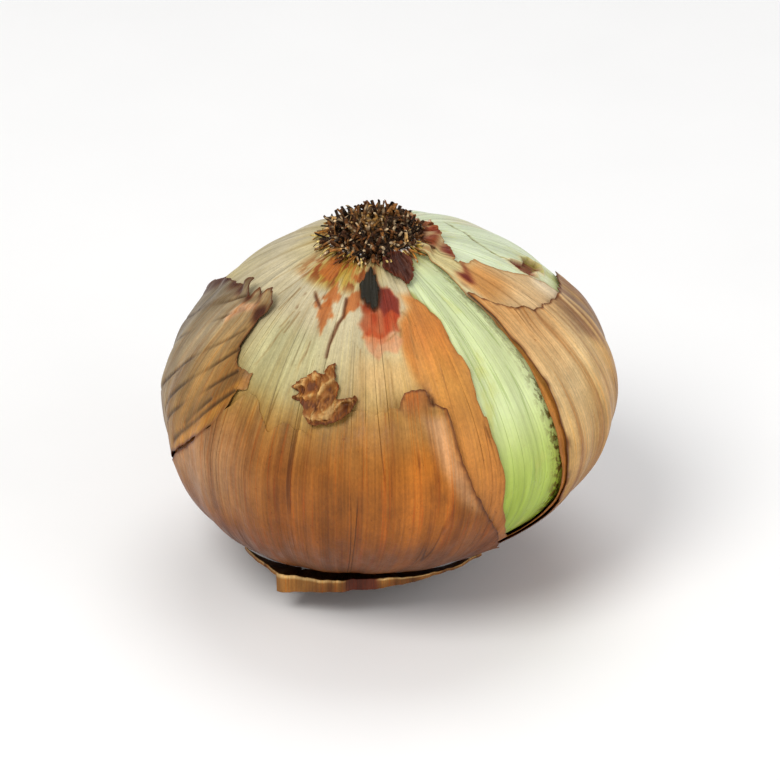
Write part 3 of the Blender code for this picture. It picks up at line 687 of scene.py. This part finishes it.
def brown_ground(turn, fall, left, remnant, creases):
    """The brown skin: rosy at the left, tan at the right, greyed on the remnant, pale at its edge."""
    streaky = 3 * patchy(turn, fall, 0.6, 0.015, 61) + 3 * patchy(turn, fall, 0.15, 0.05, 62)
    brown = down_the_fibres(fall + streaky, [
        (60, (178, 134, 78)), (74, (164, 114, 54)), (84, (150, 90, 32)), (104, (132, 72, 14)),
        (122, (106, 56, 10)), (150, (86, 48, 14)), (174, (88, 58, 26)),
    ])
    rosy = smooth((-24 - turn + 4 * patchy(turn, fall, 0.2, 0.05, 63)) / 26) * smooth((turn + 110) / 20)
    amber = smooth(1 - np.abs(turn - 8) / 20) * smooth((fall - 72) / 10) * smooth((112 - fall) / 16)
    tan_soft = 5 + 16 * smooth((turn - 70) / 30)
    tan = within(turn, fall, TAN_SIDE, tan_soft, 3 * patchy(turn, fall, 0.15, 0.08, 70))
    tan_color = down_the_fibres(fall + streaky + np.maximum(0, turn - 62) * 0.5, [
        (38, (206, 148, 84)), (58, (204, 160, 106)), (74, (222, 188, 134)), (88, (202, 158, 94)),
        (104, (168, 118, 48)), (130, (122, 72, 22)),
    ])
    shoulder = within(turn, fall, DARK_SHOULDER, 3) * smooth(0.65 + patchy(turn, fall, 0.9, 0.05, 64))
    patch = down_the_fibres(-turn - 46 + (82 - fall) * 0.5 + 4 * patchy(turn, fall, 0.3, 0.1, 69), [
        (0, (162, 106, 44)), (12, (158, 110, 50)), (28, (150, 118, 72)), (40, (164, 144, 110)),
        (58, (126, 112, 88)), (80, (150, 136, 114)),
    ])
    patch = stained(
        patch,
        # Dark diagonal streaks along the remnant's fine ridges: painted shade of the ridges.
        ((108, 84, 52), 0.5 * smooth(patchy(turn + 0.8 * fall, fall, 0.3, 0.06, 65) * 1.8 - 0.2)),
        ((184, 128, 52), 0.8 * within(turn, fall, GOLDEN_SLIVER, 1.6)),
        # Dark lines along the remnant's creases: painted shade in them.
        ((70, 50, 26), 0.8 * creases),
        # Peach on the raised bump: a painted highlight.
        ((204, 156, 118), 0.8 * within(turn, fall, PEACH_BUMP, 1.2)),
    )
    corner = smooth(1 - np.hypot((turn - 8) * 0.6, (fall - 64) * 0.62) / 4.5)
    front = smooth((turn + 60) / 10) * smooth((7 - turn) / 6) * (1 - remnant)
    below = fall + 3.5 * patchy(turn, fall, 0.55, 0.015, 66) + 2 * patchy(turn, fall, 0.15, 0.1, 67)
    below = below + 5 * smooth((turn + 16) / 12)
    pale = front * (1 - smooth((below - 70) / 18)) * (1 - corner)
    scorched = on_line(turn, fall, SCORCHED_EDGE, 3.2)
    scorched = scorched * smooth(0.7 + 1.4 * patchy(turn, fall, 0.32, 0.3, 68))
    edge = (1 - smooth(left / 0.55)) * (1 - smooth(pale * 1.5))
    edge = edge * (1 - 0.8 * smooth((turn + 60) / 12) * smooth((2 - turn) / 3))
    return stained(
        brown,
        ((166, 124, 84), 0.85 * rosy * smooth((116 - fall) / 20)),
        ((174, 100, 28), 0.75 * amber),
        (tan_color, tan),
        # Painted grey sheen on the tan side where it turns away at the far right.
        ((164, 140, 104), 0.7 * smooth((turn - 84) / 22) * smooth((fall - 66) / 12) * tan),
        ((128, 86, 56), 0.8 * shoulder),
        (patch, remnant),
        ((196, 148, 108), 0.75 * within(turn, fall, CORNER_SHEEN, 2.4)),
        (cream_of(turn, fall), pale),
        ((176, 102, 46), 0.85 * corner),
        ((72, 34, 14), 1.25 * scorched),
        ((92, 48, 20), 0.85 * edge),
    )


def build_outer_skin():
    turns = spaced((-180, 1.6), (-106.4, 0.5), (-44.4, 1.3), (110, 1.6), (180, 0))
    bm = turn_and_fall_grid(turns, spaced((38, 0.55), (86, 1.1), (125, 2.6), (175, 0)))
    left = np.clip(cut_away(bm, outer_left), 0, 8)
    turn, fall = turns_and_falls(bm)
    faded = 0.8 + 18 * smooth((-turn - 88) / 24)
    stray = 3 * patchy(turn, fall, 0.15, 0.08, 57) * smooth((-turn - 92) / 20)
    remnant = within(turn, fall, REMNANT, faded, stray)
    ripple = patchy(turn, fall, 0.2, 0.04, 51) * 0.14 + patchy(turn, fall, 0.55, 0.03, 52) * 0.06
    # The remnant's creases are pressed in a little here, and painted dark as shade in brown_ground.
    creases = np.max([on_line(turn, fall, line, 0.62) for line in REMNANT_CREASES], axis=0)
    creases = creases * smooth(0.75 + 0.8 * patchy(turn, fall, 0.12, 0.12, 55))
    bump = within(turn, fall, PEACH_BUMP, 2.5)
    ridges = (bump * 0.5 - creases * 0.35 + patchy(turn + 0.8 * fall, fall, 0.3, 0.06, 65) * 0.15) * remnant
    neck_folds = patchy(turn, fall, 0.3, 0.05, 53) * 0.4 * smooth((fall - 148) / 20)
    curl_here = smooth(patchy(turn, fall, 0.1, 0.1, 54) * 1.1 + 0.4)
    curl = np.exp(-left / 1.0) * curl_here * smooth((130 - fall) / 14) * (0.8 - 0.7 * smooth((turn - 88) / 8))
    lift = OUTER_LIFT + (ripple + ridges + neck_folds + curl) * MM
    lift = lift + curled_by(turn, fall, OUTER_CURLS) * np.exp(-left / 4)
    settled = smooth((turn + 49) / 4) * smooth((3 - turn) / 4)
    settled = settled + smooth((turn - 86) / 8) * smooth((176 - turn) / 8)
    settled = settled * (1 - smooth(left / 7))
    under = inner_lift(turn, fall) + 0.22 * MM
    lift = np.maximum(lift + (under - lift) * settled, under)
    ground = brown_ground(turn, fall, left, remnant, creases)
    wrap(bm, place(turn, fall, lift), turn, fall, ground)
    finish = skin_finish("brown skin", (180, 138, 84), (206, 158, 96), contrast=0.85, vein_share=0.7)
    thicken(piece_from(bm, "brown_outer_skin", finish, "outer_skin"))


build_outer_skin()

# ---- The peeled skin ----
# A loose brown skin under the front: the last leaf to dry, torn off above. It is still held near
# the neck, runs out under the bulb from there and ends in a lip that stands up like a collar. The
# lip is torn off short at its left end.
LOOSE_LIFT = 2.3 * MM
PEELED_SKIN = [
    (-59, 128), (-48, 128.1), (-38, 128), (-31, 128.2), (-22, 128), (-13, 128.1), (-5, 128.4), (1, 128),
    (10, 128.2), (24, 128), (36, 128.2), (50, 128), (50, 133), (42, 138), (28, 145), (8, 150),
    (-16, 151), (-36, 149), (-48, 142), (-59, 133.5),
]
LIP_TOP = 128
LIP_END = 132
RIM_FALL = 134
HELD_FALL = 151
LIP_LEFT_END = -38


def collar_place(turn, fall):
    """The loose skin: an upright lip, then a sheet that runs in under the bulb to where it is held."""
    stand = 1.4 * smooth((turn + 60) / 22) * (1 - smooth((turn - LIP_LEFT_END) / 60))
    height = 0.5 + 2.0 * (1 - smooth((turn + 8) / 40)) + 1.4 * (1 - smooth((turn - LIP_LEFT_END) / 22))
    height = np.where(turn < LIP_LEFT_END, 0.7, height)
    wave = patchy(turn, 0 * fall, 0.25, 0, 71) * 0.22 + patchy(turn, 0 * fall, 0.8, 0, 72) * 0.1
    rim = place(turn, RIM_FALL + 0 * fall, LOOSE_LIFT + (stand + wave) * MM)
    rim[:, 2] += 0.6 * MM * (1 - smooth((turn + 10) / 30))
    lip = np.clip((fall - LIP_TOP) / (LIP_END - LIP_TOP), 0, 1)
    down = np.stack([0 * turn, 0 * turn, -height * MM * lip], axis=-1)
    inward = np.clip((fall - LIP_END) / (HELD_FALL - LIP_END), 0, 1)
    beside = place(turn, RIM_FALL + inward * (HELD_FALL - RIM_FALL), LOOSE_LIFT + 0 * fall)
    at_rim = place(turn, RIM_FALL + 0 * fall, LOOSE_LIFT + 0 * fall)
    sheet = beside + (rim + down - at_rim) * (1 - inward)[:, None]
    return np.where((fall > LIP_END)[:, None], sheet, rim + down)


def build_peeled_skin():
    turns = np.concatenate([np.arange(-62, -38.5, 0.7), [-38.3], np.arange(-38, 53, 0.7)])
    falls = np.concatenate([np.arange(126.5, 132, 0.25), np.arange(132, 153, 0.8)])
    bm = turn_and_fall_grid(turns, falls)
    cut_away(bm, lambda *there: ragged(*there, 73, 0.05, 0.07) - off_outline(*there, PEELED_SKIN))
    turn, fall = turns_and_falls(bm)
    blots = smooth(patchy(turn, fall, 0.14, 0.2, 76) * 1.6)
    torn = smooth((turn + 12) / 3) * smooth((4 - turn) / 3)
    ground = stained(
        (146, 98, 44),
        ((106, 62, 22), 0.6 * blots),
        ((84, 34, 22), 0.85 * torn),
        # Pale along the top of the lip: a painted highlight where its edge catches the light.
        ((206, 168, 110), (1 - smooth((fall - 128.4) / 0.8)) * (1 - torn)),
        # Dark where the sheet runs in under the bulb: painted shade.
        ((84, 50, 22), smooth((fall - 132) / 4)),
    )
    wrap(bm, collar_place(turn, fall), turn, fall, ground)
    finish = skin_finish("loose skin", (160, 116, 70), (206, 158, 92), roughness=(0.44, 0.62))
    thicken(piece_from(bm, "peeled_brown_skin", finish, "peeled_skin"), 0.22 * MM)


build_peeled_skin()

# ---- The curled scraps ----
# Scraps of brown skin that the tearing left behind: one has crumpled where it hangs on the brown
# skin's torn edge in front, and a darker one is stuck to the skin below the roots.
TORN_FLAKE = [
    (-30, 64), (-27.5, 61.5), (-26, 59.5), (-24, 58), (-19.8, 58.5), (-19.5, 56), (-16.8, 54.5),
    (-16.2, 58), (-15.3, 60), (-14.5, 62), (-15.5, 64.8), (-13.5, 65.4), (-9.5, 63.6), (-8.6, 64.5),
    (-10.2, 68), (-13, 69.5), (-15.5, 71), (-20, 72.5), (-22.5, 72.3), (-24, 70.5), (-25.5, 68.5),
    (-28.5, 67), (-27.5, 65),
]
ROOT_FLAKE = [
    (9, 16.5), (20, 15.5), (33, 15.5), (37, 18.5), (31.5, 23), (27, 26), (21.5, 28), (18, 25.5),
    (12.5, 23), (7, 20),
]


def build_scrap(name, outline, reach, lift_of, ground_of, finish, node):
    left_turn, right_turn, top, bottom = reach
    bm = turn_and_fall_grid(np.arange(left_turn, right_turn, 0.4), np.arange(top, bottom, 0.4))
    left = cut_away(bm, lambda *there: ragged(*there, 81, 0.3, 0.3) - off_outline(*there, outline))
    turn, fall = turns_and_falls(bm)
    lift, crease = lift_of(turn, fall, left)
    wrap(bm, place(turn, fall, lift), turn, fall, ground_of(crease, left))
    thicken(piece_from(bm, name, finish, node))


def crumpled(turn, fall, left):
    """Crushed paper: sharp folds that wander, thin ribs across them and an edge that curls up."""
    astray = 6 * patchy(turn, fall, 0.24, 0.24, 87)
    folds = 1 - np.abs(patchy(turn + 1.2 * fall + astray, fall - astray, 0.26, 0.16, 92))
    crinkles = 1 - np.abs(patchy(turn - astray, fall + astray, 0.9, 0.7, 89))
    ribs = 1 - np.abs(patchy(turn - 0.9 * fall + 0.4 * astray, fall, 1.1, 0.12, 83))
    crease = 1.5 * folds**2 + 0.8 * crinkles**2 + 0.6 * ribs**2
    curl = np.exp(-np.maximum(left, 0) / 0.6) * 0.8 * smooth(patchy(turn, fall, 0.3, 0.3, 84) + 0.5)
    carried = inner_lift(turn, fall) + (OUTER_LIFT - INNER_LIFT) * smooth(outer_left(turn, fall) + 1.5)
    stand = 0.15 + 0.95 * np.maximum(crease - 1.25, 0) + curl
    return carried + stand * MM, crease / 2.9


def flake_ground(crease, left):
    # Lighter on the fold ridges and darker in the hollows between them: painted highlights and painted shade
    # on the crumpled scrap, with a darker torn edge.
    return stained(
        (150, 96, 44),
        ((200, 158, 98), smooth((crease - 0.55) / 0.25)),
        ((84, 42, 16), 0.8 * smooth((0.52 - crease) / 0.2)),
        ((104, 52, 20), 0.6 * (1 - smooth(left / 0.4))),
    )


def stuck(turn, fall, left):
    folds = np.abs(patchy(turn, fall, 0.6, 0.3, 85)) + 0.5 * np.abs(patchy(turn, fall, 1.4, 0.7, 86))
    near_tuft = smooth((19 - fall) / 4)
    return OUTER_LIFT + (0.9 * folds + 0.8 * near_tuft - 0.2) * MM, folds


def root_flake_ground(crease, left):
    edge = 1 - smooth(left / 1.0)
    # Lighter where the folds stand highest: painted highlights on the dark scrap's folds, with a redder torn
    # edge.
    return stained((72, 36, 24), ((112, 70, 52), smooth(crease - 0.3)), ((104, 46, 20), 0.8 * edge))


flake_finish = skin_finish("curled scrap", (170, 124, 76), (208, 162, 100), 0.9, 0.4, (0.46, 0.66))
build_scrap(
    "crumpled_flake", TORN_FLAKE, (-33, -5, 50, 77), crumpled, flake_ground, flake_finish,
    "torn_flake",
)
dark_finish = skin_finish("dark scrap", (150, 110, 80), (128, 80, 54), 0.9, 0.4, (0.4, 0.6))
build_scrap(
    "dark_root_flake", ROOT_FLAKE, (4, 41, 13, 31), stuck, root_flake_ground, dark_finish,
    "root_flake",
)

# ---- The root tuft ----
# The root plate and its roots: they were trimmed to stubs at harvest and have dried dark, bent
# every way, with pale cut tips. Those in the middle are short and yellow, the rest stand close
# together and lean out at the plate's edge, and thin pale ones lie along the skin round it.
PLATE_FALL = 14.4
PLATE_RIM = 0.9 * MM
PLATE_CROWN = 1.2 * MM
ROOT_COUNT = 440
STRAGGLER_COUNT = 110
ROOT_STEPS = 5
GOLDEN_TURN = 137.508
ROOT_TONES = {(34, 22, 14): 10, (62, 36, 20): 9, (96, 58, 28): 6, (134, 88, 44): 3, (176, 138, 86): 1}
STRAGGLER_TONES = [(176, 148, 66), (140, 92, 38), (196, 172, 104), (80, 46, 22)]
PLATE_CENTRE_TONE = (146, 112, 52)
# Pale stretches laid on root segments at random: pale dried root with painted highlights.
PALE_STROKE = (208, 180, 140)


def plate_lift(fall):
    return PLATE_RIM + PLATE_CROWN * (1 - (np.minimum(fall, PLATE_FALL) / PLATE_FALL) ** 2) + 0.35 * MM


def build_plate():
    falls = np.array([0.6, 2, 4, 6, 8, 10, 12, 13.4, PLATE_FALL, PLATE_FALL, 10, 5, 0.6])
    on_top = np.arange(len(falls)) < 9
    bm = turn_and_fall_grid(np.linspace(-180, 180, 97), np.arange(len(falls)))
    turn, row = turns_and_falls(bm)
    row = np.round(row).astype(int)
    fall = falls[row]
    lumpy = plate_lift(fall) + patchy(turn, fall, 0.6, 0.6, 91) * 0.3 * MM
    lift = np.where(on_top[row], lumpy, 0.35 * MM)
    ground = stained((48, 30, 18), ((140, 112, 54), smooth((5 - fall) / 4)))
    wrap(bm, place(turn, fall, lift), turn, fall, ground)
    bmesh.ops.holes_fill(bm, edges=bm.edges, sides=0)
    return bm


def level_way(turn):
    return Vector((math.sin(math.radians(turn)), -math.cos(math.radians(turn)), 0))


def on_skin(turn, fall, lift):
    return Vector(place(np.array([float(turn)]), np.array([float(fall)]), np.array([float(lift)]))[0])


def upright_root(rng, turn, fall):
    """A stub on the plate: nearly upright in the middle, leaning out and bent down at the edge."""
    outward = level_way(turn)
    outer, middle = (fall / PLATE_FALL) ** 2, max(0.0, 1 - fall / 6.5)
    lean = math.radians(3 + 58 * outer + rng.uniform(-24, 24))
    heading = Vector((rng.uniform(-0.4, 0.4), rng.uniform(-0.4, 0.4), math.cos(lean)))
    heading += outward * math.sin(lean)
    bend = Vector([rng.uniform(-1.7, 1.7) for _ in range(3)]) + outward * 0.3 * outer
    tone = rng.choices(list(ROOT_TONES), list(ROOT_TONES.values()))[0]
    color = stained(tone, (PLATE_CENTRE_TONE, np.array([0.8 * middle])))[0]
    length = (rng.uniform(2.0, 3.6) - 1.5 * middle) * (1 - 0.16 * max(0, outward.x)) * MM
    base = on_skin(turn, fall, float(plate_lift(fall)) - 0.5 * MM)
    pale = 0.1 + 0.2 * middle
    return base, heading.normalized(), bend, length, rng.uniform(0.4, 0.85) * MM, color, pale


def straggler(rng):
    """A thin dried root that lies along the skin, away from the tuft."""
    turn = rng.uniform(-150, 75)
    heading = level_way(turn + rng.uniform(-25, 25)) + Vector((0, 0, -0.15))
    bend = Vector([rng.uniform(-0.5, 0.5) for _ in range(3)]) + Vector((0, 0, -0.35))
    color = rng.choice(STRAGGLER_TONES)
    base = on_skin(turn, rng.uniform(12.5, 15), 1.3 * MM)
    length, width = rng.uniform(1.8, 4.0) * MM, rng.uniform(0.25, 0.45) * MM
    return base, heading.normalized(), bend, length, width, color, 0.1


def grow(bm, rng, roots):
    """Grow all roots at once from rings, step by step, each bending its own way to a cut end."""
    root_of = bm.verts.layers.int.new("root")
    ground_layer = bm.verts.layers.float_color["ground"]
    grain_layer = bm.verts.layers.float_vector["grain"]
    headings = [heading for _, heading, *_ in roots]
    for number, (base, heading, _, _, width, _, _) in enumerate(roots):
        turned = Matrix.Translation(base) @ heading.to_track_quat("Z", "Y").to_matrix().to_4x4()
        ring = bmesh.ops.create_circle(bm, cap_ends=False, radius=width / 2, segments=6, matrix=turned)
        for vert in ring["verts"]:
            vert[root_of] = number + 1
    starts = [edge for edge in bm.edges if edge.verts[0][root_of] > 0]
    tips = starts
    for _ in range(ROOT_STEPS):
        grown = bmesh.ops.extrude_edge_only(bm, edges=tips)["geom"]
        tips = [part for part in grown if isinstance(part, bmesh.types.BMEdge)]
        rings = {}
        for vert in grown:
            if isinstance(vert, bmesh.types.BMVert):
                rings.setdefault(vert[root_of] - 1, []).append(vert)
        for number, ring in sorted(rings.items()):
            _, _, bend, length, _, color, pale = roots[number]
            headings[number] = (headings[number] + bend / ROOT_STEPS).normalized()
            middle = sum((vert.co for vert in ring), Vector()) / len(ring)
            narrower = rng.uniform(0.88, 1.04)
            # Some segments take the pale colour: pale dried root with painted highlights.
            drawn_in, low, high = (color, 0.7, 1.35) if rng.random() > pale else (PALE_STROKE, 0.75, 1.05)
            shown = np.multiply(drawn_in, rng.uniform(low, high))
            for vert in ring:
                vert.co = middle + headings[number] * (length / ROOT_STEPS) + (vert.co - middle) * narrower
                vert[ground_layer] = (*as_light(shown), 1)
    bmesh.ops.edgeloop_fill(bm, edges=starts)
    caps = bmesh.ops.edgeloop_fill(bm, edges=tips)["faces"]
    bmesh.ops.recalc_face_normals(bm, faces=bm.faces)
    bmesh.ops.inset_individual(bm, faces=caps, thickness=0.08 * MM, depth=0.05 * MM)
    for vert in bm.verts:
        if vert[root_of] > 0:
            vert[grain_layer] = vert.co / MM + Vector((vert[root_of] * 3.7, 0, 0))


def root_finish():
    finish = Finish("dried roots")
    fibres = finish.noise(2.0, 2.0, detail=4)
    finish.shade(fibres, 0.3, 0.7, 0.6, 1.4)
    specks = finish.noise(4.0, 4.0, detail=2)
    finish.stain(finish.between(specks, 0.58, 0.68, 0, 0.4), (176, 138, 92))
    finish.raise_by(fibres, 1.0)
    return finish.done(depth=0.2 * MM, roughness=(0.5, 0.75), gloss=0.12)


def build_roots():
    rng = random.Random(11)
    bm = build_plate()
    roots = []
    for i in range(ROOT_COUNT):
        fall = PLATE_FALL * 0.985 * math.sqrt((i + 0.5) / ROOT_COUNT)
        roots.append(upright_root(rng, (i * GOLDEN_TURN + rng.uniform(-6, 6)) % 360 - 180, fall))
    roots += [straggler(rng) for _ in range(STRAGGLER_COUNT)]
    grow(bm, rng, roots)
    piece_from(bm, "dried_root_tuft", root_finish(), "root_tuft")


build_roots()

# ---- The floor, the light and the view ----
# A pale table top under three big soft lights: the strongest from above at the left, a weak one
# from the right and one from above and behind. The view is from the front and from well above.


def build_floor():
    bm = bmesh.new()
    bmesh.ops.create_circle(bm, cap_ends=True, radius=6, segments=64)
    mesh = bpy.data.meshes.new("table_top")
    bm.to_mesh(mesh)
    bm.free()
    table = bpy.data.objects.new("table_top", mesh)
    bpy.context.scene.collection.objects.link(table)
    material = bpy.data.materials.new("pale table")
    material.use_nodes = True
    nodes, links = material.node_tree.nodes, material.node_tree.links
    where = nodes.new("ShaderNodeTexCoord")
    mottle = nodes.new("ShaderNodeTexNoise")
    mottle.inputs["Scale"].default_value = 30
    tones = nodes.new("ShaderNodeValToRGB")
    tones.color_ramp.elements[0].color = (0.93, 0.93, 0.93, 1)
    tones.color_ramp.elements[1].color = (0.97, 0.97, 0.97, 1)
    links.new(where.outputs["Object"], mottle.inputs["Vector"])
    links.new(mottle.outputs[0], tones.inputs[0])
    links.new(tones.outputs[0], nodes["Principled BSDF"].inputs["Base Color"])
    nodes["Principled BSDF"].inputs["Roughness"].default_value = 0.8
    mesh.materials.append(material)


def add_light(name, place_at, size, power, color):
    light = bpy.data.lights.new(name, "AREA")
    light.shape = "DISK"
    light.size = size
    light.energy = power
    light.color = color
    lamp = bpy.data.objects.new(name, light)
    lamp.location = place_at
    lamp.rotation_euler = (Vector((0, 0, 0.03)) - lamp.location).to_track_quat("-Z", "Y").to_euler()
    bpy.context.scene.collection.objects.link(lamp)


def add_camera(elevation, distance, aim, lens):
    camera = bpy.data.objects.new("camera", bpy.data.cameras.new("camera"))
    tilt = math.radians(elevation)
    camera.location = Vector(aim) + Vector((0, -math.cos(tilt), math.sin(tilt))) * distance
    camera.rotation_euler = (Vector(aim) - camera.location).to_track_quat("-Z", "Y").to_euler()
    camera.data.lens = lens
    camera.data.sensor_width = 36
    camera.data.clip_start = 0.01
    bpy.context.scene.collection.objects.link(camera)
    bpy.context.scene.camera = camera


build_floor()
add_light("key", (-0.35, -0.45, 0.75), size=0.5, power=5.2, color=(1.0, 0.985, 0.96))
add_light("fill", (0.6, -0.35, 0.35), size=0.6, power=1.4, color=(0.97, 0.98, 1.0))
add_light("top", (0.05, 0.35, 0.8), size=0.6, power=2.2, color=(1.0, 1.0, 1.0))
world = bpy.data.worlds.new("soft surroundings")
world.use_nodes = True
world.node_tree.nodes["Background"].inputs["Color"].default_value = (1, 1, 1, 1)
world.node_tree.nodes["Background"].inputs["Strength"].default_value = 0.36
bpy.context.scene.world = world
bpy.context.scene.view_settings.view_transform = "Standard"
add_camera(elevation=29, distance=1.0, aim=(0, 0, 0.0345), lens=250)
